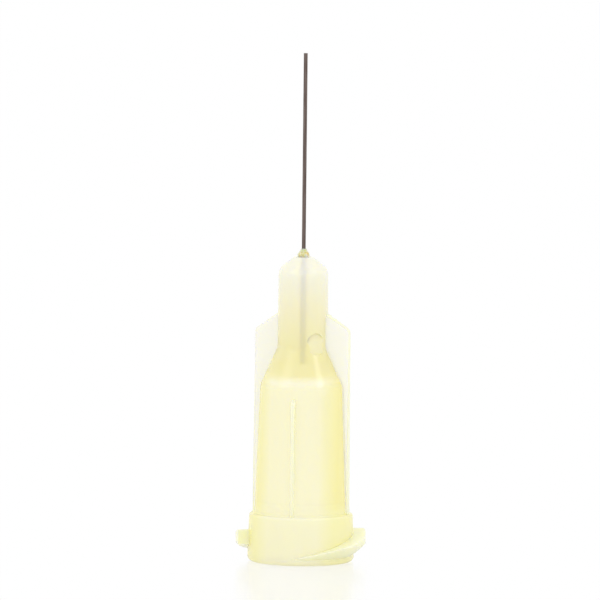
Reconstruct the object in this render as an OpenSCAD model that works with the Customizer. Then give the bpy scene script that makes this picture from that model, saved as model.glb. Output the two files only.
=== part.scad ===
// Blunt dispensing needle: a one-piece hub with a twist-lock socket, a fine steel tube and the
// adhesive that holds the tube in the hub. It stands on the socket mouth, with the tube along +Z.

/* [Hub body] */
// Height of the hub from the mouth to its tip
hub_height = 18.29; // [17:0.01:24]
// Diameter of the collar at the mouth
collar_base_d = 6.4; // [6.3:0.01:6.7]
// Diameter of the collar at its top edge
collar_top_d = 6.21; // [5.9:0.01:6.6]
// Height of the collar
collar_height = 2.9; // [2.4:0.05:4]
// Diameter of the barrel just above the collar
barrel_base_d = 5.58; // [5.3:0.01:5.8]
// Diameter of the barrel under the shoulder
barrel_top_d = 5.02; // [4.9:0.01:5.4]
// Height of the barrel between the collar and the shoulder
barrel_height = 7.7; // [7.2:0.05:8.6]
// Slope of the shoulder, measured from the axis
shoulder_angle = 24; // [20:0.5:40]
// Diameter of the neck
neck_d = 2.99; // [2.6:0.01:3.6]
// Rise of the domed tip, measured from a flat top
tip_slope = 38; // [15:0.5:45]
// Diameter of the flat at the very tip
tip_flat_d = 1.16; // [0.9:0.02:1.4]

/* [Wings and ribs] */
// Width across both wings just above the collar
wing_base_span = 5.82; // [5.6:0.01:6.1]
// Width across both wings at their upper corners
wing_top_span = 5.7; // [5.4:0.01:5.9]
// Thickness of each wing
wing_thickness = 0.7; // [0.4:0.05:1.2]
// Height of the outer corner of each wing
wing_corner_height = 13.95; // [12:0.05:15]
// Fall of the upper edge of each wing, measured from level
wing_slope = 35; // [10:1:45]
// Rounding of the outer corner of each wing
wing_corner_r = 0.5; // [0.1:0.05:0.9]
// Width across the front and back ribs
rib_span = 5.74; // [5.6:0.01:6]
// Thickness of each rib
rib_thickness = 0.2; // [0.15:0.05:0.8]
// Height of the top of each rib
rib_top_height = 9.95; // [6:0.05:10.2]

/* [Socket] */
// Diameter of the tapered socket at the mouth
socket_mouth_d = 4.27; // [4.2:0.005:4.32]
// Diameter lost for each unit of depth
socket_taper = 0.06; // [0.05:0.001:0.07]
// Depth of the tapered part of the socket
socket_depth = 11.1; // [8:0.1:11.2]
// Diameter where the wide funnel gives way to the narrow one
funnel_d = 1.3; // [1:0.05:2]
// Height of the top of the wide funnel
funnel_height = 11.5; // [11.3:0.05:11.6]

/* [Locking lugs] */
// Diameter over the lug crests
lug_d = 7.8; // [7.5:0.01:7.83]
// Climb of the lug in one full turn
lug_lead = 5; // [4:0.1:6]
// Width of the crest along the axis
lug_crest_w = 0.9; // [0.5:0.05:1.2]
// Width of the lug where it leaves the collar
lug_root_w = 1; // [0.9:0.05:1.6]
// Height of the middle of the lug at its square end
lug_end_height = 1.48; // [1.2:0.02:2]
// Direction of the square end of the first lug
lug_end_angle = 24; // [-20:1:60]
// Height at which the lug's entry chamfer leaves the collar
lug_entry_height = 0.4; // [0.1:0.05:0.8]
// Slope of the entry chamfer, measured from the axis
lug_entry_angle = 45; // [30:1:60]

/* [Gate mark] */
// Diameter of the shallow round mark on the neck
gate_d = 1.3; // [0.6:0.05:1.4]
// Depth of the mark
gate_depth = 0.1; // [0.05:0.01:0.25]
// Direction of the mark around the axis
gate_angle = -46; // [-75:1:-15]
// Height of the middle of the mark
gate_height = 13.15; // [12:0.05:14.5]

/* [Tube] */
// Outside diameter of the tube
tube_od = 0.235; // [0.2:0.005:0.45]
// Wall thickness of the tube
tube_wall = 0.0635; // [0.04:0.0005:0.08]
// Length of tube standing out of the hub tip
tube_reach = 12.21; // [5:0.01:40]
// Length of tube buried in the hub
tube_grip = 6.6; // [5.5:0.01:6.7]

/* [Adhesive] */
// Thickness of the adhesive layer around the tube in the neck
bond_gap = 0.05; // [0.03:0.005:0.12]
// Diameter of the adhesive well in the tip
well_d = 0.46; // [0.44:0.02:0.66]
// Depth of the adhesive well
well_depth = 1.8; // [1:0.1:3.5]
// Diameter of the adhesive bead where it sits on the tip
bead_foot_d = 0.74; // [0.7:0.01:0.86]
// Rise of the adhesive bead on the tube
bead_height = 0.5; // [0.3:0.02:0.8]

/* [Hidden] */

$fn = 96;
overlap = 0.4;

collar_base_r = collar_base_d / 2;
collar_top_r = collar_top_d / 2;
collar_foot_round = 0.3;
collar_top_round = 0.17;
barrel_root_round = 0.15;

barrel_base_r = barrel_base_d / 2;
barrel_top_r = barrel_top_d / 2;
barrel_top_z = collar_height + barrel_height;
shoulder_round = 0.7;

neck_r = neck_d / 2;
neck_base_z = barrel_top_z + (barrel_top_r - neck_r) / tan(shoulder_angle);
neck_base_round = 1.1;
tip_flat_r = tip_flat_d / 2;
neck_top_z = hub_height - (neck_r - tip_flat_r) * tan(tip_slope);
neck_top_round = 0.8;

socket_mouth_r = socket_mouth_d / 2;
socket_end_r = socket_mouth_r - socket_depth * socket_taper / 2;
socket_lead_in = 0.12;
socket_end_round = 0.45;
funnel_r = funnel_d / 2;
funnel_round = 0.4;
funnel_floor_z = 11.75;

tube_r = tube_od / 2;
tube_bore_r = tube_r - tube_wall;
tube_base_z = hub_height - tube_grip;
tube_length = tube_grip + tube_reach;

bore_r = tube_r + bond_gap;
well_r = well_d / 2;
well_floor_z = hub_height - well_depth;
well_floor_rise = well_r - bore_r;
bond_rise = 0.1;
bond_base_z = tube_base_z + bond_rise;
bead_foot_r = bead_foot_d / 2;
bead_skirt = 0.12;
bead_skirt_round = 0.12;
bead_collar = 0.03;
bead_top_r = tube_r + bead_collar;

lug_crest_r = lug_d / 2;
lug_root_r = collar_top_r - 0.2;
lug_edge = 0.06;
lug_steps = 40;
lug_dip = 0.1;
lug_turn = 360 * (lug_end_height + lug_root_w / 2 + lug_dip) / lug_lead;

wing_root_x = 0.8;
wing_base_x = wing_base_span / 2;
wing_top_x = wing_top_span / 2;
wing_edge = 0.1;
wing_foot_z = collar_height - overlap;

rib_root_y = socket_mouth_r;
rib_y = rib_span / 2;
rib_chamfer = 0.3;

// Unit vector along v
function unit(v) = v / norm(v);

// Signed turn between two directions, kept within half a turn
function turn_between(a, b) =
    let (d = b - a)
    d > 180 ? d - 360 : d < -180 ? d + 360 : d;

// Points that round the corner b between the neighbours a and c with radius r
function corner(a, b, c, r, steps) =
    let (
        u = unit(a - b),
        w = unit(c - b),
        half = acos(u * w) / 2,
        centre = b + unit(u + w) * r / sin(half),
        start = b + u * r / tan(half) - centre,
        finish = b + w * r / tan(half) - centre,
        a0 = atan2(start[1], start[0]),
        sweep = turn_between(a0, atan2(finish[1], finish[0]))
    )
    [for (i = [0:steps]) centre + r * [cos(a0 + sweep * i / steps), sin(a0 + sweep * i / steps)]];

// Closed outline from points of the form [x, y, rounding]
function rounded(path, steps = 8) =
    let (n = len(path), flat = [for (p = path) [p[0], p[1]]])
    [
        for (i = [0:n - 1])
        each path[i][2] == 0
            ? [flat[i]]
            : corner(flat[(i + n - 1) % n], flat[i], flat[(i + 1) % n], path[i][2], steps)
    ];

// Outside of the moulding, turned about the axis: collar, barrel, shoulder, neck and domed tip
module hub_skin() {
    rotate_extrude()
    polygon(rounded([
        [0, 0, 0],
        [collar_base_r, 0, collar_foot_round],
        [collar_top_r, collar_height, collar_top_round],
        [barrel_base_r, collar_height, barrel_root_round],
        [barrel_top_r, barrel_top_z, shoulder_round],
        [neck_r, neck_base_z, neck_base_round],
        [neck_r, neck_top_z, neck_top_round],
        [tip_flat_r, hub_height, 0],
        [0, hub_height, 0]
    ]));
}

// Tapered socket, funnels, neck bore and adhesive well, all open to one another
module hub_passage() {
    below = 1;
    below_r = socket_mouth_r + below * socket_taper / 2;
    rotate_extrude()
    polygon(rounded([
        [0, -below, 0],
        [below_r, -below, 0],
        [socket_end_r, socket_depth, socket_end_round],
        [funnel_r, funnel_height, funnel_round],
        [bore_r, funnel_floor_z, 0],
        [bore_r, well_floor_z, 0],
        [well_r, well_floor_z + well_floor_rise, 0],
        [well_r, hub_height + below, 0],
        [0, hub_height + below, 0]
    ]));
    cylinder(h = socket_lead_in, r1 = socket_mouth_r + socket_lead_in, r2 = socket_mouth_r);
}

// One thin wing in the XZ plane on the +X side, with its long outer edges eased
module wing() {
    top_root_z = wing_corner_height + (wing_top_x - wing_root_x) * tan(wing_slope);
    lean = atan2(wing_base_x - wing_top_x, wing_corner_height - collar_height);
    difference() {
        rotate([90, 0, 0])
        linear_extrude(wing_thickness, center = true)
        polygon(rounded([
            [wing_root_x, wing_foot_z, 0],
            [wing_base_x, wing_foot_z, 0],
            [wing_top_x, wing_corner_height, wing_corner_r],
            [wing_root_x, top_root_z, 0]
        ]));
        for (side = [-1, 1])
            translate([wing_base_x, side * wing_thickness / 2, wing_foot_z])
            rotate([0, -lean, 0])
            rotate([0, 0, 45])
            cube([wing_edge * sqrt(2), wing_edge * sqrt(2), 4 * wing_corner_height], center = true);
    }
}

// One narrow rib in the YZ plane on the +Y side
module rib() {
    rotate([90, 0, 90])
    linear_extrude(rib_thickness, center = true)
    polygon([
        [rib_root_y, wing_foot_z],
        [rib_y, wing_foot_z],
        [rib_y, rib_top_height - rib_chamfer],
        [rib_y - rib_chamfer, rib_top_height],
        [rib_root_y, rib_top_height]
    ]);
}

// One locking lug: a trapezoid carried up a right-hand helix to a square end, with its entry
// chamfered by a cone that leaves the collar just above the mouth
module lug() {
    flank = (lug_root_w - lug_crest_w) / 2 * lug_edge / (lug_crest_r - lug_root_r);
    shoulder_w = lug_crest_w / 2 + flank;
    entry_r = collar_base_r - lug_entry_height * tan(lug_entry_angle);
    section = [
        [lug_root_r, -lug_root_w / 2],
        [lug_crest_r - lug_edge, -shoulder_w],
        [lug_crest_r, lug_edge - lug_crest_w / 2],
        [lug_crest_r, lug_crest_w / 2 - lug_edge],
        [lug_crest_r - lug_edge, shoulder_w],
        [lug_root_r, lug_root_w / 2]
    ];
    n = len(section);
    points = [
        for (i = [0:lug_steps])
        let (
            back = lug_turn * (1 - i / lug_steps),
            a = lug_end_angle - back,
            z = lug_end_height - lug_lead * back / 360
        )
        for (p = section) [p[0] * cos(a), p[0] * sin(a), z + p[1]]
    ];
    sides = [
        for (i = [0:lug_steps - 1], k = [0:n - 1])
        let (b = i * n + k, c = i * n + (k + 1) % n)
        each [[b, c, b + n], [c, c + n, b + n]]
    ];
    first = [for (k = [n - 1:-1:0]) k];
    last = [for (k = [0:n - 1]) lug_steps * n + k];
    intersection() {
        polyhedron(points, concat([first], sides, [last]), convexity = 4);
        cylinder(h = lug_d, r1 = entry_r, r2 = entry_r + lug_d * tan(lug_entry_angle));
    }
}

// Shallow round mark left by the moulding gate, sunk square to the neck where the shoulder starts
module gate_mark() {
    lean = shoulder_angle / 2;
    rotate([0, 0, gate_angle])
    translate([neck_r + gate_depth * 0.2, 0, gate_height])
    rotate([0, 90 - lean, 0])
    translate([0, 0, -gate_depth])
    cylinder(h = 2, d = gate_d);
}

module hub() {
    color([0.96, 0.94, 0.72])
    difference() {
        union() {
            hub_skin();
            for (turn = [0, 180])
                rotate([0, 0, turn]) {
                    wing();
                    rib();
                    lug();
                }
        }
        hub_passage();
        gate_mark();
    }
}

module needle_tube() {
    color([0.62, 0.58, 0.56])
    translate([0, 0, tube_base_z])
    difference() {
        cylinder(h = tube_length, r = tube_r);
        translate([0, 0, -overlap])
            cylinder(h = tube_length + 2 * overlap, r = tube_bore_r);
    }
}

// Layer around the tube, filled well and the small cone of adhesive that climbs the tube
module adhesive() {
    color([0.9, 0.78, 0.42])
    rotate_extrude()
    polygon(rounded([
        [tube_r, bond_base_z, 0],
        [bore_r, bond_base_z, 0],
        [bore_r, well_floor_z, 0],
        [well_r, well_floor_z + well_floor_rise, 0],
        [well_r, hub_height, 0],
        [bead_foot_r, hub_height, 0],
        [bead_foot_r, hub_height + bead_skirt, bead_skirt_round],
        [bead_top_r, hub_height + bead_height, 0],
        [tube_r, hub_height + bead_height, 0]
    ]));
}

hub();
needle_tube();
adhesive();
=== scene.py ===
# %% [markdown]
# A blunt dispensing needle stands on its hub in front of plain white. It has three pieces: a hub
# moulded in hazy, pale yellow plastic, a drawn steel tube hardly thicker than two hairs, and a cone
# of amber adhesive that holds the tube. Each is made here from the same sizes as its solid, but with
# the eased edges that a real moulding has. Sizes are in millimetres until a piece is finished.

# %% Load the solids
import math

import bmesh
import bpy
from mathutils import Matrix, Vector, noise


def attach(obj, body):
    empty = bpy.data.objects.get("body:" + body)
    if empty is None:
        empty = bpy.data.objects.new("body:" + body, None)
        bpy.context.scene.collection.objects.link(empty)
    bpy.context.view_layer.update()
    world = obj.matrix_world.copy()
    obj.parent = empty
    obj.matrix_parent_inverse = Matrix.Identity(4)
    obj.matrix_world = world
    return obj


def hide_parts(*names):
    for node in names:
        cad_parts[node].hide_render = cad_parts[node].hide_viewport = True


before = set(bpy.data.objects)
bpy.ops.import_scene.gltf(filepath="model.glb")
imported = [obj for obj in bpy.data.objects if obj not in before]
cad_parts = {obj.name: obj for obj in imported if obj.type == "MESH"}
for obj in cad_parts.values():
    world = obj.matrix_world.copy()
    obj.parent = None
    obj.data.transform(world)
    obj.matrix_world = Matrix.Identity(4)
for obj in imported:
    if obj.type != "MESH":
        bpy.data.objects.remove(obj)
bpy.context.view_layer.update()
MM = 0.001
SCENE = bpy.context.scene.collection

# %% [markdown]
# Nodes come next, because both the shapes and the finishes need them. Adding a node by hand takes
# four or five lines, so one small function adds it, sets it and links it. The other one turns the
# hex value that a colour picker gives into the linear light that Blender's sockets want.

# %% Two helpers for nodes
def add(tree, kind, links=None, **settings):
    node = tree.nodes.new(kind)
    for key, value in settings.items():
        if hasattr(node, key):
            setattr(node, key, value)
        else:
            node.inputs[key.replace("_", " ")].default_value = value
    for socket, source in (links or {}).items():
        tree.links.new(source, node.inputs[socket])
    return node


def srgb(text, alpha=1.0):
    parts = [int(text[i:i + 2], 16) / 255 for i in (1, 3, 5)]
    linear = [c / 12.92 if c <= 0.04045 else ((c + 0.055) / 1.055) ** 2.4 for c in parts]
    return (*linear, alpha)


print("shoulder yellow in linear light:", [round(c, 3) for c in srgb("#F6F0BE")[:3]])

# %% [markdown]
# Almost every shape on a hub is a turned outline with its corners rounded by the mould maker. An
# outline here is a list of points, each with the radius of its own corner. The rounding is worked
# out rather than left to a Bevel modifier, so each arc starts and ends where the solid's does.

# %% Outlines with rounded corners
def eased(path, steps=8):
    points = []
    for i, (x, y, radius) in enumerate(path):
        at = Vector((x, y))
        if not radius:
            points.append(at)
            continue
        u = (Vector(path[i - 1][:2]) - at).normalized()
        w = (Vector(path[(i + 1) % len(path)][:2]) - at).normalized()
        half = u.angle(w) / 2
        centre = at + (u + w).normalized() * radius / math.sin(half)
        start = at + u * radius / math.tan(half) - centre
        finish = at + w * radius / math.tan(half) - centre
        a0 = math.atan2(start.y, start.x)
        sweep = math.remainder(math.atan2(finish.y, finish.x) - a0, 2 * math.pi)
        points += [centre + radius * Vector((math.cos(a0 + sweep * k / steps),
                                             math.sin(a0 + sweep * k / steps)))
                   for k in range(steps + 1)]
    return points


print("points in one rounded corner:", len(eased([(0, 0, 0), (2, 0, 0.5), (2, 2, 0)])) - 2)

# %% [markdown]
# A turned solid is its outline carried round the axis. Spin could do it, but it leaves doubled
# points at the seam and the poles. Writing the rings out keeps the mesh closed from the start, which
# the cuts that follow depend on.

# %% Turned solids
def finish_mesh(name, bm):
    bmesh.ops.recalc_face_normals(bm, faces=bm.faces)
    mesh = bpy.data.meshes.new(name)
    bm.to_mesh(mesh)
    bm.free()
    obj = bpy.data.objects.new(name, mesh)
    SCENE.objects.link(obj)
    return obj


def turned(name, outline, segments=192):
    bm = bmesh.new()
    turn = [2 * math.pi * k / segments for k in range(segments)]
    rings = [[bm.verts.new((r * math.cos(a), r * math.sin(a), z)) for a in turn] if r > 1e-6
             else [bm.verts.new((0, 0, z))] for r, z in outline]
    for low, high in zip(rings, rings[1:] + rings[:1]):
        for k in range(segments if len(low) + len(high) > 2 else 0):
            n = (k + 1) % segments
            corners = [low[k % len(low)], low[n % len(low)], high[n % len(high)], high[k % len(high)]]
            bm.faces.new(list(dict.fromkeys(corners)))
    return finish_mesh(name, bm)


HUB_HEIGHT = 18.29
COLLAR_HEIGHT = 2.9
COLLAR_BASE_R, COLLAR_TOP_R = 3.2, 3.105
BARREL_BASE_R, BARREL_TOP_R, BARREL_TOP = 2.79, 2.51, 10.6
NECK_R, NECK_BASE, TIP_FLAT_R = 1.495, 12.88, 0.58
NECK_TOP = HUB_HEIGHT - (NECK_R - TIP_FLAT_R) * math.tan(math.radians(38))
SKIN = eased([(0, 0, 0), (COLLAR_BASE_R, 0, 0.3), (COLLAR_TOP_R, COLLAR_HEIGHT, 0.17),
              (BARREL_BASE_R, COLLAR_HEIGHT, 0.15), (BARREL_TOP_R, BARREL_TOP, 0.7),
              (NECK_R, NECK_BASE, 1.1), (NECK_R, NECK_TOP, 0.8), (TIP_FLAT_R, HUB_HEIGHT, 0.08),
              (0, HUB_HEIGHT, 0)])
skin = turned("skin", SKIN)
print("skin:", len(skin.data.polygons), "faces")

# %% [markdown]
# The way through the hub is one more turned solid, used as a cutter: the tapered socket, two
# funnels, the bore that the tube passes and the small well that the adhesive fills.

# %% The passage
TUBE_R, TUBE_BORE_R = 0.1175, 0.054
BORE_R, WELL_R, WELL_FLOOR, BOND_BASE = TUBE_R + 0.05, 0.23, HUB_HEIGHT - 1.8, 11.79
SOCKET_R, SOCKET_DEPTH, TAPER = 2.135, 11.1, 0.06
LEAD_IN, BELOW = 0.12, 1.0
PASSAGE = eased([(0, -BELOW, 0), (SOCKET_R + LEAD_IN + BELOW, -BELOW, 0),
                 (SOCKET_R, LEAD_IN, 0.05), (SOCKET_R - SOCKET_DEPTH * TAPER / 2, SOCKET_DEPTH, 0.45),
                 (0.65, 11.5, 0.4), (BORE_R, 11.75, 0), (BORE_R, BOND_BASE, 0), (BORE_R, WELL_FLOOR, 0),
                 (WELL_R, WELL_FLOOR + WELL_R - BORE_R, 0), (WELL_R, HUB_HEIGHT + BELOW, 0),
                 (0, HUB_HEIGHT + BELOW, 0)])
passage = turned("passage", PASSAGE)
print("passage:", len(passage.data.polygons), "faces")

# %% [markdown]
# Wings and ribs are flat plates whose long edges are eased, as a mould can't hold a sharp edge for
# long. Each is an outline pushed out to a thickness, and its rim is bevelled in the same go.

# %% Wings and ribs
def plate(name, outline, thickness, edge, turn):
    bm = bmesh.new()
    near, far = [[bm.verts.new((x, side * thickness / 2, z)) for x, z in outline] for side in (-1, 1)]
    caps = [bm.faces.new(near), bm.faces.new(far[::-1])]
    for k in range(len(outline)):
        n = (k + 1) % len(outline)
        bm.faces.new((near[k], far[k], far[n], near[n]))
    rim = list({e for cap in caps for e in cap.edges})
    bmesh.ops.bevel(bm, geom=rim, offset=edge, segments=4, profile=0.5, affect="EDGES")
    bmesh.ops.rotate(bm, verts=bm.verts, cent=(0, 0, 0), matrix=Matrix.Rotation(turn, 3, "Z"))
    return finish_mesh(name, bm)


WING_THICK, WING_EDGE, WING_ROOT, WING_FOOT = 0.7, 0.1, 0.8, 2.5
WING_BASE, WING_TOP, WING_CORNER = 2.91, 2.85, 13.95
WING_PEAK = WING_CORNER + (WING_TOP - WING_ROOT) * math.tan(math.radians(35))
WING = eased([(WING_ROOT, WING_FOOT, 0), (WING_BASE, WING_FOOT, 0), (WING_TOP, WING_CORNER, 0.5),
              (WING_ROOT, WING_PEAK, 0)])
RIB_THICK, RIB_EDGE, RIB_REACH, RIB_TOP = 0.2, 0.04, 2.87, 9.95
RIB = eased([(2.135, WING_FOOT, 0), (RIB_REACH, WING_FOOT, 0), (RIB_REACH, RIB_TOP - 0.3, 0.1),
             (RIB_REACH - 0.3, RIB_TOP, 0.1), (2.135, RIB_TOP, 0)])
plates = [plate(f"wing_{k}", WING, WING_THICK, WING_EDGE, math.pi * k) for k in (0, 1)]
plates += [plate(f"rib_{k}", RIB, RIB_THICK, RIB_EDGE, math.pi * (k + 0.5)) for k in (0, 1)]
print("plates:", [p.name for p in plates])

# %% [markdown]
# The two locking lugs are short stretches of a screw thread with two starts. A thread is a section
# carried along a helix, which is what Curve to Mesh does, so this is Geometry Nodes' work: one line
# is bent onto the helix by a rule, and the second lug is the first one turned by half a turn. The
# section stands square to the helix, so it is a little narrower than the lug measured upright.

# %% A tree that makes helical lugs
def new_tree(name, sizes):
    tree = bpy.data.node_groups.new(name, "GeometryNodeTree")
    tree.interface.new_socket("Geometry", in_out="OUTPUT", socket_type="NodeSocketGeometry")
    ids = {}
    for label in sizes:
        socket = tree.interface.new_socket(label, in_out="INPUT", socket_type="NodeSocketFloat")
        ids[label] = socket.identifier
    return tree, ids, add(tree, "NodeGroupInput").outputs


def sum_up(tree, operation, first, second):
    node = add(tree, "ShaderNodeMath", operation=operation)
    for k, value in enumerate((first, second)):
        if isinstance(value, (int, float)):
            node.inputs[k].default_value = value
        else:
            tree.links.new(value, node.inputs[k])
    return node.outputs[0]


def lug_tree(sizes, material):
    tree, ids, size = new_tree("helical_lugs", sizes)
    line = add(tree, "GeometryNodeCurvePrimitiveLine")
    path = add(tree, "GeometryNodeResampleCurve", {"Curve": line.outputs["Curve"]}, Count=72)
    along = add(tree, "GeometryNodeSplineParameter").outputs["Factor"]
    behind = sum_up(tree, "MULTIPLY", sum_up(tree, "SUBTRACT", 1.0, along), size["Turn"])
    angle = sum_up(tree, "SUBTRACT", size["End angle"], behind)
    fall = sum_up(tree, "DIVIDE", sum_up(tree, "MULTIPLY", behind, size["Lead"]), 2 * math.pi)
    middle = sum_up(tree, "MULTIPLY", sum_up(tree, "ADD", size["Root radius"], size["Crest radius"]), 0.5)
    place = add(tree, "ShaderNodeCombineXYZ", {
        "X": sum_up(tree, "MULTIPLY", middle, sum_up(tree, "COSINE", angle, 0.0)),
        "Y": sum_up(tree, "MULTIPLY", middle, sum_up(tree, "SINE", angle, 0.0)),
        "Z": sum_up(tree, "SUBTRACT", size["End height"], fall)})
    helix = add(tree, "GeometryNodeSetPosition", {"Geometry": path.outputs["Curve"],
                                                  "Position": place.outputs["Vector"]})
    upright = add(tree, "GeometryNodeSetCurveNormal", {"Curve": helix.outputs["Geometry"]},
                  mode="Z_UP")
    section = add(tree, "GeometryNodeCurvePrimitiveQuadrilateral", {
        "Height": sum_up(tree, "SUBTRACT", size["Crest radius"], size["Root radius"]),
        "Bottom Width": size["Root width"], "Top Width": size["Crest width"]},
        mode="TRAPEZOID", Offset=0.0)
    turned_section = add(tree, "GeometryNodeTransform", {"Geometry": section.outputs["Curve"]},
                         Rotation=(0, 0, SECTION_TURN))
    soft = add(tree, "GeometryNodeFilletCurve", {"Curve": turned_section.outputs["Geometry"],
                                                 "Radius": size["Edge"]}, mode="POLY", Count=4)
    swept = add(tree, "GeometryNodeCurveToMesh", {"Curve": upright.outputs["Curve"],
                                                  "Profile Curve": soft.outputs["Curve"]},
                Fill_Caps=True)
    starts = add(tree, "GeometryNodePoints", Count=2)
    index = add(tree, "GeometryNodeInputIndex").outputs["Index"]
    spin = add(tree, "FunctionNodeAxisAngleToRotation",
               {"Angle": sum_up(tree, "MULTIPLY", index, math.pi)}, Axis=(0, 0, 1))
    both = add(tree, "GeometryNodeInstanceOnPoints", {
        "Points": starts.outputs[0], "Instance": swept.outputs["Mesh"],
        "Rotation": spin.outputs["Rotation"]})
    real = add(tree, "GeometryNodeRealizeInstances", {"Geometry": both.outputs["Instances"]})
    done = add(tree, "GeometryNodeSetMaterial", {"Geometry": real.outputs["Geometry"]},
               Material=material)
    add(tree, "NodeGroupOutput", {"Geometry": done.outputs["Geometry"]})
    return tree, ids


SECTION_TURN = -math.pi / 2
LUG_CREST_R, LUG_ROOT_R, LUG_LEAD, LUG_END = 3.9, 2.905, 5.0, 1.48
ACROSS = math.cos(math.atan(LUG_LEAD / (math.pi * (LUG_CREST_R + LUG_ROOT_R))))
LUG_SIZES = {"Crest radius": LUG_CREST_R, "Root radius": LUG_ROOT_R,
             "Crest width": 0.9 * ACROSS, "Root width": 1.0 * ACROSS, "Edge": 0.07,
             "Lead": LUG_LEAD, "End height": LUG_END, "End angle": math.radians(24),
             "Turn": 2 * math.pi * (LUG_END + 0.6) / LUG_LEAD}


def kept_mesh(name, obj):
    deps = bpy.context.evaluated_depsgraph_get()
    mesh = bpy.data.meshes.new_from_object(obj.evaluated_get(deps))
    mesh.name = name
    obj.modifiers.clear()
    old, obj.data = obj.data, mesh
    bpy.data.meshes.remove(old)
    obj.name = name
    return obj


def grown(name, tree, ids, sizes):
    host = finish_mesh(name, bmesh.new())
    mod = host.modifiers.new(name, "NODES")
    mod.node_group = tree
    for label, value in sizes.items():
        mod[ids[label]] = value
    kept_mesh(name, host)
    bm = bmesh.new()
    bm.from_mesh(host.data)
    bmesh.ops.recalc_face_normals(bm, faces=bm.faces)
    bm.to_mesh(host.data)
    bm.free()
    return host


hub_plastic = bpy.data.materials.new("natural_polypropylene_moulded")
lugs = grown("lugs", *lug_tree(LUG_SIZES, hub_plastic), LUG_SIZES)
print("lugs:", len(lugs.data.polygons), "faces", "box", [round(v, 2) for v in lugs.dimensions])

# %% [markdown]
# Now the solids become one moulding. The lugs' entry is cut by a cone first, as a mould chamfers it,
# then everything is joined, and the passage and the gate's round mark are cut out. The Manifold
# solver does this exactly, as long as each solid is closed. The faces are then split into
# triangles here, where a thin face can be split well, and points closer together than a sliver's
# width are merged, so the mesh stays closed.

# %% One moulding
def cut(base, tools, operation):
    for tool in tools:
        mod = base.modifiers.new(tool.name, "BOOLEAN")
        mod.operation, mod.solver, mod.object = operation, "MANIFOLD", tool
    kept_mesh(base.name, base)
    for tool in tools:
        bpy.data.objects.remove(tool)
    return base


ENTRY_R = COLLAR_BASE_R - 0.4
entry_cone = turned("entry_cone", [Vector(p) for p in ((0, 0), (ENTRY_R, 0), (ENTRY_R + 6, 6), (0, 6))])
cut(lugs, [entry_cone], "INTERSECT")

GATE_R, GATE_DEPTH, GATE_HEIGHT, GATE_TURN = 0.65, 0.1, 13.15, math.radians(-46)
lean = math.radians(12)
GATE_WAY = Vector((math.cos(lean) * math.cos(GATE_TURN), math.cos(lean) * math.sin(GATE_TURN), math.sin(lean)))
gate = turned("gate", eased([(0, 0, 0), (GATE_R, 0, 0.03), (GATE_R, 2, 0), (0, 2, 0)]), 96)
gate.data.transform(Matrix.Rotation(GATE_TURN, 4, "Z")
                    @ Matrix.Translation((NECK_R + GATE_DEPTH * 0.2, 0, GATE_HEIGHT))
                    @ Matrix.Rotation(math.pi / 2 - lean, 4, "Y") @ Matrix.Translation((0, 0, -GATE_DEPTH)))
cut(skin, plates + [lugs], "UNION")
moulded_hub = cut(skin, [passage, gate], "DIFFERENCE")
moulded_hub.name = moulded_hub.data.name = "moulded_hub"
SLIVER = 0.0005
bm = bmesh.new()
bm.from_mesh(moulded_hub.data)
bmesh.ops.triangulate(bm, faces=bm.faces, ngon_method="BEAUTY")
bmesh.ops.remove_doubles(bm, verts=bm.verts, dist=SLIVER)
bmesh.ops.dissolve_degenerate(bm, edges=bm.edges, dist=SLIVER)
bm.to_mesh(moulded_hub.data)
open_edges = sum(1 for e in bm.edges if len(e.link_faces) != 2)
print("hub: faces", len(bm.faces), "open edges", open_edges, "volume mm3", round(bm.calc_volume(), 1),
      "lowest", [round(min(v.co[k] for v in bm.verts), 3) for k in range(3)],
      "highest", [round(max(v.co[k] for v in bm.verts), 3) for k in range(3)])
bm.free()

# %% [markdown]
# One plastic looks different in four places, so the faces carry marks that its material can read.
# The passage is clear, because a polished pin moulds it, while the outside is satin. Light crosses
# from the plastic into the adhesive almost unbent, because there is no air between them. The wings
# are thin and the gate's mark is stressed, so both look pale. Edges seen end on look deep.

# %% Marks on the faces
def radius_of(outline, z):
    sides = [(a, b) for a, b in zip(outline, outline[1:]) if a.y <= z <= b.y and b.y > a.y]
    return max((a.x + (b.x - a.x) * (z - a.y) / (b.y - a.y) for a, b in sides), default=0.0)


def mark_faces(mesh, name, rule):
    values = mesh.attributes.new(name, "FLOAT", "FACE").data
    for face, value in zip(mesh.polygons, values):
        value.value = float(rule(face.center, face.normal))
    return sum(int(v.value) for v in values)


PASSAGE_UP = [p for p in PASSAGE if p.y > LEAD_IN / 2]


def in_bond(c, n):
    return math.hypot(c.x, c.y) < WELL_R + 0.01 and BOND_BASE < c.z < HUB_HEIGHT


def in_passage(c, n):
    return math.hypot(c.x, c.y) < radius_of(PASSAGE_UP, max(c.z, LEAD_IN)) + 0.02 and c.z < HUB_HEIGHT - 0.01


def on_wing(c, n):
    return c.z > COLLAR_HEIGHT and abs(n.y) > 0.99 and abs(abs(c.y) - WING_THICK / 2) < 0.01


def in_gate(c, n):
    return n.dot(GATE_WAY) > 0.999 and abs(c.z - GATE_HEIGHT) < GATE_R


def on_pale(c, n):
    return max(1.0 * on_wing(c, n), 0.3 * in_gate(c, n))


def on_rim(c, n):
    return not on_wing(c, n) and math.hypot(c.x, c.y) > radius_of(SKIN, max(c.z, 0.3)) + 0.02


for mark, rule in (("bonded", in_bond), ("polished", in_passage), ("pale", on_pale), ("deep", on_rim)):
    print("faces marked", mark, mark_faces(moulded_hub.data, mark, rule))

# %% [markdown]
# The tube is steel, drawn down to 0.235 mm across and cut square, with its burr taken off. A thin
# tall section carried round a circle gives the outside, the bore and both eased ends at once.

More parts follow.
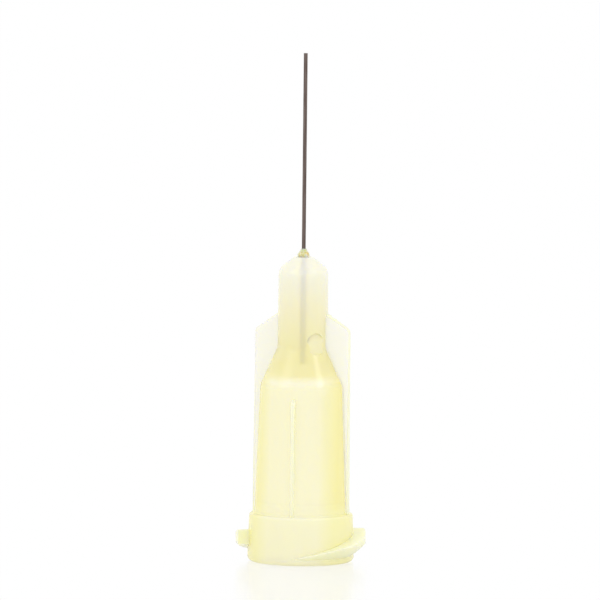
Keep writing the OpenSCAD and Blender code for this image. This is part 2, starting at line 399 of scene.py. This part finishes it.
# %% A tree that makes the tube
def tube_tree(sizes, material):
    tree, ids, size = new_tree("drawn_tube", sizes)
    middle = sum_up(tree, "MULTIPLY", sum_up(tree, "ADD", size["Outer radius"], size["Bore radius"]), 0.5)
    ring = add(tree, "GeometryNodeCurvePrimitiveCircle", {"Radius": middle}, Resolution=64)
    upright = add(tree, "GeometryNodeSetCurveNormal", {"Curve": ring.outputs["Curve"]}, mode="Z_UP")
    wall = add(tree, "GeometryNodeCurvePrimitiveQuadrilateral", {
        "Width": sum_up(tree, "SUBTRACT", size["Outer radius"], size["Bore radius"]),
        "Height": sum_up(tree, "SUBTRACT", size["Top"], size["Bottom"])}, mode="RECTANGLE")
    soft = add(tree, "GeometryNodeFilletCurve", {"Curve": wall.outputs["Curve"],
                                                 "Radius": size["Edge"]}, mode="POLY", Count=4)
    swept = add(tree, "GeometryNodeCurveToMesh", {"Curve": upright.outputs["Curve"],
                                                  "Profile Curve": soft.outputs["Curve"]})
    height = sum_up(tree, "MULTIPLY", sum_up(tree, "ADD", size["Top"], size["Bottom"]), 0.5)
    lift = add(tree, "ShaderNodeCombineXYZ", {"Z": height})
    placed = add(tree, "GeometryNodeTransform", {"Geometry": swept.outputs["Mesh"],
                                                 "Translation": lift.outputs["Vector"]})
    real = add(tree, "GeometryNodeRealizeInstances", {"Geometry": placed.outputs["Geometry"]})
    done = add(tree, "GeometryNodeSetMaterial", {"Geometry": real.outputs["Geometry"]},
               Material=material)
    add(tree, "NodeGroupOutput", {"Geometry": done.outputs["Geometry"]})
    return tree, ids


TUBE_BOTTOM, TUBE_TOP = 11.69, 30.5
TUBE_SIZES = {"Outer radius": TUBE_R, "Bore radius": TUBE_BORE_R, "Bottom": TUBE_BOTTOM,
              "Top": TUBE_TOP, "Edge": 0.012}
tube_steel = bpy.data.materials.new("stainless_steel_drawn")
drawn_tube = grown("drawn_tube", *tube_tree(TUBE_SIZES, tube_steel), TUBE_SIZES)
print("tube:", len(drawn_tube.data.polygons), "faces", [round(v, 3) for v in drawn_tube.dimensions])

# %% [markdown]
# The adhesive is dosed by hand or by a machine, climbs the tube and sets. It fills the bore and the
# well, and ends outside in a small cone that is never quite round. So it is turned like the rest,
# and then noise pushes the points of the cone in or out by a few hundredths of a millimetre.

# %% Adhesive
BEAD_R, BEAD_HEIGHT, BEAD_SKIRT, HAIR = 0.37, 0.5, 0.12, 0.001
bead = eased([(TUBE_R - HAIR, BOND_BASE, 0), (BORE_R - HAIR, BOND_BASE, 0),
              (BORE_R - HAIR, WELL_FLOOR, 0), (WELL_R - HAIR, WELL_FLOOR + WELL_R - BORE_R, 0),
              (WELL_R - HAIR, HUB_HEIGHT, 0), (BEAD_R, HUB_HEIGHT, 0),
              (BEAD_R, HUB_HEIGHT + BEAD_SKIRT, 0.11),
              (TUBE_R + 0.03, HUB_HEIGHT + BEAD_HEIGHT, 0), (TUBE_R - HAIR, HUB_HEIGHT + BEAD_HEIGHT, 0)])
slope_top = bead[-2]
slope_foot = bead[-3]
bead[-2:-2] = [slope_foot.lerp(slope_top, k / 6) for k in range(1, 6)]
adhesive_cone = turned("adhesive_cone", bead, 64)
pushed = 0
for v in adhesive_cone.data.vertices:
    r = math.hypot(v.co.x, v.co.y)
    if v.co.z > HUB_HEIGHT - HAIR and r > WELL_R * 0.6:
        push = 1 + 0.16 * noise.noise(v.co * 3.1 + Vector((4.0, 1.0, 7.0)))
        v.co.x *= push
        v.co.y *= push
        pushed += 1
mark_faces(adhesive_cone.data, "bonded", in_bond)
print("adhesive:", len(adhesive_cone.data.polygons), "faces,", pushed, "points pushed")

# %% [markdown]
# The hub is natural polypropylene with a little yellow in it. It is clear enough to show the tube,
# yet milky, and its surface is satin from a spark-eroded mould. Its colour comes from depth: each
# millimetre takes out some blue, so the shoulder, which is solid, is the yellowest. The flanks by
# the wings carry painted shade, a yellower tint than the front, standing in for the wall seen edge
# on. Part of the light goes straight on through a rough surface, and the rest scatters below it.
# In a milky plastic light finds its way out again, so on the way out nothing bends it back in. A
# clear plastic would show dark lines there, and this one shows none.

# %% Hub plastic
def empty_tree(material):
    material.use_nodes = True
    material.node_tree.nodes.clear()
    return material.node_tree


def blend(tree, factor, first, second):
    node = add(tree, "ShaderNodeMix", {"Factor": factor, "A": first}, data_type="RGBA")
    node.inputs["B"].default_value = second
    return node.outputs["Result"]


def ramp(tree, source, stops):
    node = add(tree, "ShaderNodeValToRGB", {"Fac": source})
    elements = node.color_ramp.elements
    while len(elements) < len(stops):
        elements.new(0.5)
    for element, (place, colour) in zip(elements, stops):
        element.position, element.color = place, colour
    return node.outputs["Color"]


HUB_TINTS = [(0.0, "#FDF9E4"), (0.16, "#FDF9E4"), (0.2, "#FDF8E8"), (0.595, "#FDF8E8"),
             (0.62, "#EFE9B6"), (0.72, "#F2ECC0"), (0.84, "#F5F0D6"), (0.95, "#F8F6EC")]
# Painted shade: these tints make the sides towards the wings yellower than the front, standing in for the wall
# seen edge on.
FLANK_PAINTED_SHADE_TINTS = [(0.0, "#FBF6CC"), (0.16, "#FBF6CC"), (0.2, "#F6F0B4"), (0.58, "#F6F0B4"), (0.62, "#F0E9B2")]
HUB_CLARITY = [(0.0, 0.4), (0.16, 0.4), (0.2, 0.62), (0.58, 0.62), (0.62, 0.18), (0.9, 0.18)]
PAINTED_SHADE_FROM, PAINTED_SHADE_FULL = 1.5 * MM, 2.4 * MM


def fill_hub_plastic(material, absorb):
    tree = empty_tree(material)
    coords = add(tree, "ShaderNodeTexCoord").outputs["Object"]
    place = add(tree, "ShaderNodeSeparateXYZ", {"Vector": coords})
    share = sum_up(tree, "DIVIDE", place.outputs["Z"], HUB_HEIGHT * MM)
    # Painted shade: the farther a point lies out towards the wings, the more of the yellower flank tint it
    # gets.
    painted_flank_shade = add(tree, "ShaderNodeMapRange", {"Value": sum_up(tree, "ABSOLUTE", place.outputs["X"], 0.0)},
                From_Min=PAINTED_SHADE_FROM, From_Max=PAINTED_SHADE_FULL)
    marks = {name: add(tree, "ShaderNodeAttribute", attribute_name=name).outputs["Fac"]
             for name in ("pale", "deep", "polished", "bonded")}
    middle = ramp(tree, share, [(stop, srgb(tint)) for stop, tint in HUB_TINTS])
    sides = ramp(tree, share, [(stop, srgb(tint)) for stop, tint in FLANK_PAINTED_SHADE_TINTS])
    body = add(tree, "ShaderNodeMix", {"Factor": painted_flank_shade.outputs[0], "A": middle, "B": sides}, data_type="RGBA")
    wing = blend(tree, marks["pale"], body.outputs["Result"], srgb("#FDFCF8"))
    outside = blend(tree, marks["deep"], wing, srgb("#FCF8D2"))
    inner_side = add(tree, "ShaderNodeNewGeometry").outputs["Backfacing"]
    open_way = sum_up(tree, "MAXIMUM", marks["polished"], inner_side)
    tint = blend(tree, open_way, outside, srgb("#FFFFFF"))
    clarity = ramp(tree, share, [(stop, (c, c, c, 1.0)) for stop, c in HUB_CLARITY])
    clarity = blend(tree, marks["pale"], clarity, (0.5, 0.5, 0.5, 1.0))
    clarity = blend(tree, marks["deep"], clarity, (0.0, 0.0, 0.0, 1.0))
    through = sum_up(tree, "MAXIMUM", clarity, open_way)
    easy = sum_up(tree, "MAXIMUM", marks["bonded"], inner_side)
    bend = add(tree, "ShaderNodeMapRange", {"Value": easy}, To_Min=1.49, To_Max=1.02)
    grain = add(tree, "ShaderNodeTexNoise", {"Vector": coords}, Scale=1 / (0.3 * MM), Detail=2.0)
    satin = add(tree, "ShaderNodeMapRange", {"Value": grain.outputs["Fac"]}, To_Min=0.15, To_Max=0.27)
    bump = add(tree, "ShaderNodeBump", {"Height": grain.outputs["Fac"]}, Strength=0.1, Distance=0.02 * MM)
    surface = add(tree, "ShaderNodeBsdfPrincipled", {
        "Base Color": tint, "Transmission Weight": through, "IOR": bend.outputs[0],
        "Roughness": satin.outputs[0], "Normal": bump.outputs["Normal"]},
        IOR=1.49, Subsurface_Weight=1.0, Subsurface_Radius=(1.0, 0.95, 0.6), Subsurface_Scale=0.5 * MM)
    depth = add(tree, "ShaderNodeVolumeAbsorption", Color=(0.99, 0.9, 0.0, 1.0), Density=absorb)
    add(tree, "ShaderNodeOutputMaterial", {"Surface": surface.outputs["BSDF"],
                                           "Volume": depth.outputs["Volume"]})


fill_hub_plastic(hub_plastic, 340.0)
print("material:", hub_plastic.name)

# %% [markdown]
# Stainless steel tube is drawn through dies, which leaves fine lines along it, and these vary its tone. It
# mirrors whatever stands round it, so its colour is painted shade: a dark brown-grey well below bare steel, a
# painted reflection of dark surroundings that the white tent does not give.

# %% Tube steel
def fill_tube_steel(material):
    tree = empty_tree(material)
    coords = add(tree, "ShaderNodeTexCoord").outputs["Object"]
    stretch = add(tree, "ShaderNodeMapping", {"Vector": coords}, Scale=(1.0, 1.0, 0.04))
    lines = add(tree, "ShaderNodeTexNoise", {"Vector": stretch.outputs["Vector"]},
                Scale=1 / (0.06 * MM), Detail=3.0)
    # Painted reflection: both grey-browns are far darker than bare steel and stand in for dark surroundings
    # mirrored in it; the noise between them follows the drawing lines.
    tone = ramp(tree, lines.outputs["Fac"], [(0.35, srgb("#60534E")), (0.65, srgb("#7E716B"))])
    gloss = add(tree, "ShaderNodeMapRange", {"Value": lines.outputs["Fac"]}, To_Min=0.22, To_Max=0.38)
    surface = add(tree, "ShaderNodeBsdfPrincipled", {"Base Color": tone, "Roughness": gloss.outputs[0]},
                  Metallic=1.0)
    add(tree, "ShaderNodeOutputMaterial", {"Surface": surface.outputs["BSDF"]})


fill_tube_steel(tube_steel)
print("material:", tube_steel.name)

# %% [markdown]
# Cured adhesive of this kind is amber, glossy and nearly clear, with small flecks and bubbles in it.

# %% Adhesive amber
def fill_adhesive(material):
    tree = empty_tree(material)
    coords = add(tree, "ShaderNodeTexCoord").outputs["Object"]
    flecks = add(tree, "ShaderNodeTexNoise", {"Vector": coords}, Scale=1 / (0.12 * MM), Detail=3.0)
    tone = ramp(tree, flecks.outputs["Fac"],
                [(0.36, srgb("#E8CC84")), (0.5, srgb("#FBEBB4")), (0.7, srgb("#FFFAE4"))])
    bonded = add(tree, "ShaderNodeAttribute", attribute_name="bonded").outputs["Fac"]
    through = add(tree, "ShaderNodeMapRange", {"Value": bonded}, To_Min=0.15, To_Max=1.0)
    bend = add(tree, "ShaderNodeMapRange", {"Value": bonded}, To_Min=1.52, To_Max=1.02)
    surface = add(tree, "ShaderNodeBsdfPrincipled", {
        "Base Color": tone, "Transmission Weight": through.outputs[0], "IOR": bend.outputs[0]},
        Roughness=0.1, Subsurface_Weight=1.0, Subsurface_Radius=(1.0, 0.8, 0.4),
        Subsurface_Scale=0.3 * MM)
    add(tree, "ShaderNodeOutputMaterial", {"Surface": surface.outputs["BSDF"]})


adhesive_amber = bpy.data.materials.new("amber_adhesive_cured")
fill_adhesive(adhesive_amber)
print("material:", adhesive_amber.name)

# %% [markdown]
# Each piece is now brought from millimetres to metres, gets its finish and smooth shading, and takes
# the place of its solid. Weighted normals keep the flat faces flat beside their eased edges.

# %% Dress the pieces
def dress(piece, material, node_name):
    mesh = piece.data
    mesh.transform(Matrix.Scale(MM, 4))
    mesh.materials.clear()
    mesh.materials.append(material)
    mesh.shade_smooth()
    mesh.set_sharp_from_angle(angle=math.radians(35))
    piece.modifiers.new("even_normals", "WEIGHTED_NORMAL").keep_sharp = True
    kept_mesh(piece.name, piece)
    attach(piece, "root")
    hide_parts(node_name)
    print(piece.name, "replaces", node_name, "triangles", sum(len(p.vertices) - 2 for p in piece.data.polygons))


dress(moulded_hub, hub_plastic, "hub")
dress(drawn_tube, tube_steel, "needle_tube")
dress(adhesive_cone, adhesive_amber, "adhesive")

# %% [markdown]
# The needle stands on white acrylic in a white tent. What the camera sees of both is plain white.
# The sheet's shine adds a faint mirror image of the hub, and its matt share keeps the soft shadow.

# %% Floor
def seen_directly(tree):
    path = add(tree, "ShaderNodeLightPath").outputs
    first = add(tree, "ShaderNodeMath", {0: path["Is Camera Ray"], 1: path["Is Glossy Ray"]},
                operation="MAXIMUM")
    return add(tree, "ShaderNodeMath", {0: first.outputs[0], 1: path["Is Transmission Ray"]},
               operation="MAXIMUM").outputs[0]


def fill_floor(material):
    tree = empty_tree(material)
    glow = add(tree, "ShaderNodeEmission", Color=(1, 1, 1, 1), Strength=1.0)
    matt = add(tree, "ShaderNodeBsdfDiffuse", Color=(0.9, 0.9, 0.9, 1))
    shine = add(tree, "ShaderNodeBsdfAnisotropic", Color=(1, 1, 1, 1), Roughness=0.22)
    shown = add(tree, "ShaderNodeMixShader", {1: glow.outputs[0], 2: shine.outputs[0]}, Fac=0.3)
    both = add(tree, "ShaderNodeMixShader", {0: seen_directly(tree), 1: matt.outputs[0],
                                             2: shown.outputs[0]})
    add(tree, "ShaderNodeOutputMaterial", {"Surface": both.outputs[0]})


floor_white = bpy.data.materials.new("white_acrylic_floor")
fill_floor(floor_white)
HALF = 0.6
mesh = bpy.data.meshes.new("floor")
mesh.from_pydata([(-HALF, -HALF, 0), (HALF, -HALF, 0), (HALF, HALF, 0), (-HALF, HALF, 0)],
                 [], [(0, 1, 2, 3)])
mesh.materials.append(floor_white)
floor = bpy.data.objects.new("floor", mesh)
floor.location.z = -0.02 * MM
SCENE.objects.link(floor)
print("floor:", 2 * HALF, "m square")

# %% [markdown]
# The white tent lights the needle evenly from all sides, which is how a pale object is shown on
# white without losing its edges. A ray that reaches the lens sees it as full white. The light that
# it gives is a little weaker, so the palest plastic stays below white.

# %% World
world = bpy.data.worlds.new("white_tent")
bpy.context.scene.world = world
tree = empty_tree(world)
plain = add(tree, "ShaderNodeBackground", Color=(1, 1, 1, 1), Strength=0.96)
white = add(tree, "ShaderNodeBackground", Color=(1, 1, 1, 1), Strength=1.0)
both = add(tree, "ShaderNodeMixShader", {0: seen_directly(tree), 1: plain.outputs[0],
                                         2: white.outputs[0]})
add(tree, "ShaderNodeOutputWorld", {"Surface": both.outputs[0]})
print("world:", world.name)

# %% [markdown]
# A needle this small is shot from far off with a long lens, so its sides stay parallel. The lens
# looks down by a few degrees and a little from the right, as the rib and the wings show. The scale
# is set by how many picture points one millimetre takes.

# %% Camera
AZIMUTH, ELEVATION, ROLL = 11.3, 5.5, 0.6
PIXELS_PER_MM, BASE_ROW, AXIS_SHIFT = 16.71, 561, 3.2
LENS_MM, SENSOR_MM = 600.0, 36.0
a, e, roll = math.radians(AZIMUTH), math.radians(ELEVATION), math.radians(ROLL)
back = Vector((math.sin(a) * math.cos(e), -math.cos(a) * math.cos(e), math.sin(e)))
right = Vector((math.cos(a), math.sin(a), 0.0))
up = back.cross(right)
distance = LENS_MM / SENSOR_MM * 600 / PIXELS_PER_MM * MM
target = (Vector((0, 0, (BASE_ROW - 300) / (PIXELS_PER_MM * math.cos(e)) * MM))
          - right * (AXIS_SHIFT / PIXELS_PER_MM * MM))
cam_data = bpy.data.cameras.new("camera")
cam_data.lens, cam_data.sensor_width = LENS_MM, SENSOR_MM
cam_data.clip_start, cam_data.clip_end = 0.001, 5.0
camera = bpy.data.objects.new("camera", cam_data)
SCENE.objects.link(camera)
cam_right = right * math.cos(roll) + up * math.sin(roll)
cam_up = up * math.cos(roll) - right * math.sin(roll)
camera.matrix_world = Matrix.Translation(target + back * distance) @ Matrix(
    (cam_right, cam_up, back)).transposed().to_4x4()
bpy.context.scene.camera = camera
print("camera:", round(distance / MM), "mm away")

# %% [markdown]
# Two soft boxes outside the tent, left and right, put a faint highlight on the satin plastic and
# one along the tube. They are weak, because the tent does most of the work.

# %% Lamps
def soft_lamp(name, place, size, power):
    data = bpy.data.lights.new(name, "AREA")
    data.shape, data.size, data.energy = "SQUARE", size, power
    lamp = bpy.data.objects.new(name, data)
    lamp.location = place
    lamp.rotation_euler = (Vector((0, 0, 0.015)) - Vector(place)).to_track_quat("-Z", "Y").to_euler()
    SCENE.objects.link(lamp)
    return lamp


soft_lamp("lamp_left", (-0.25, -0.25, 0.3), 0.2, 0.14)
soft_lamp("lamp_right", (0.3, -0.1, 0.25), 0.1, 0.1)

# %% [markdown]
# Colours go to the picture as they are, without a film curve, so white stays white.

# %% Finish
bpy.context.scene.view_settings.view_transform = "Standard"
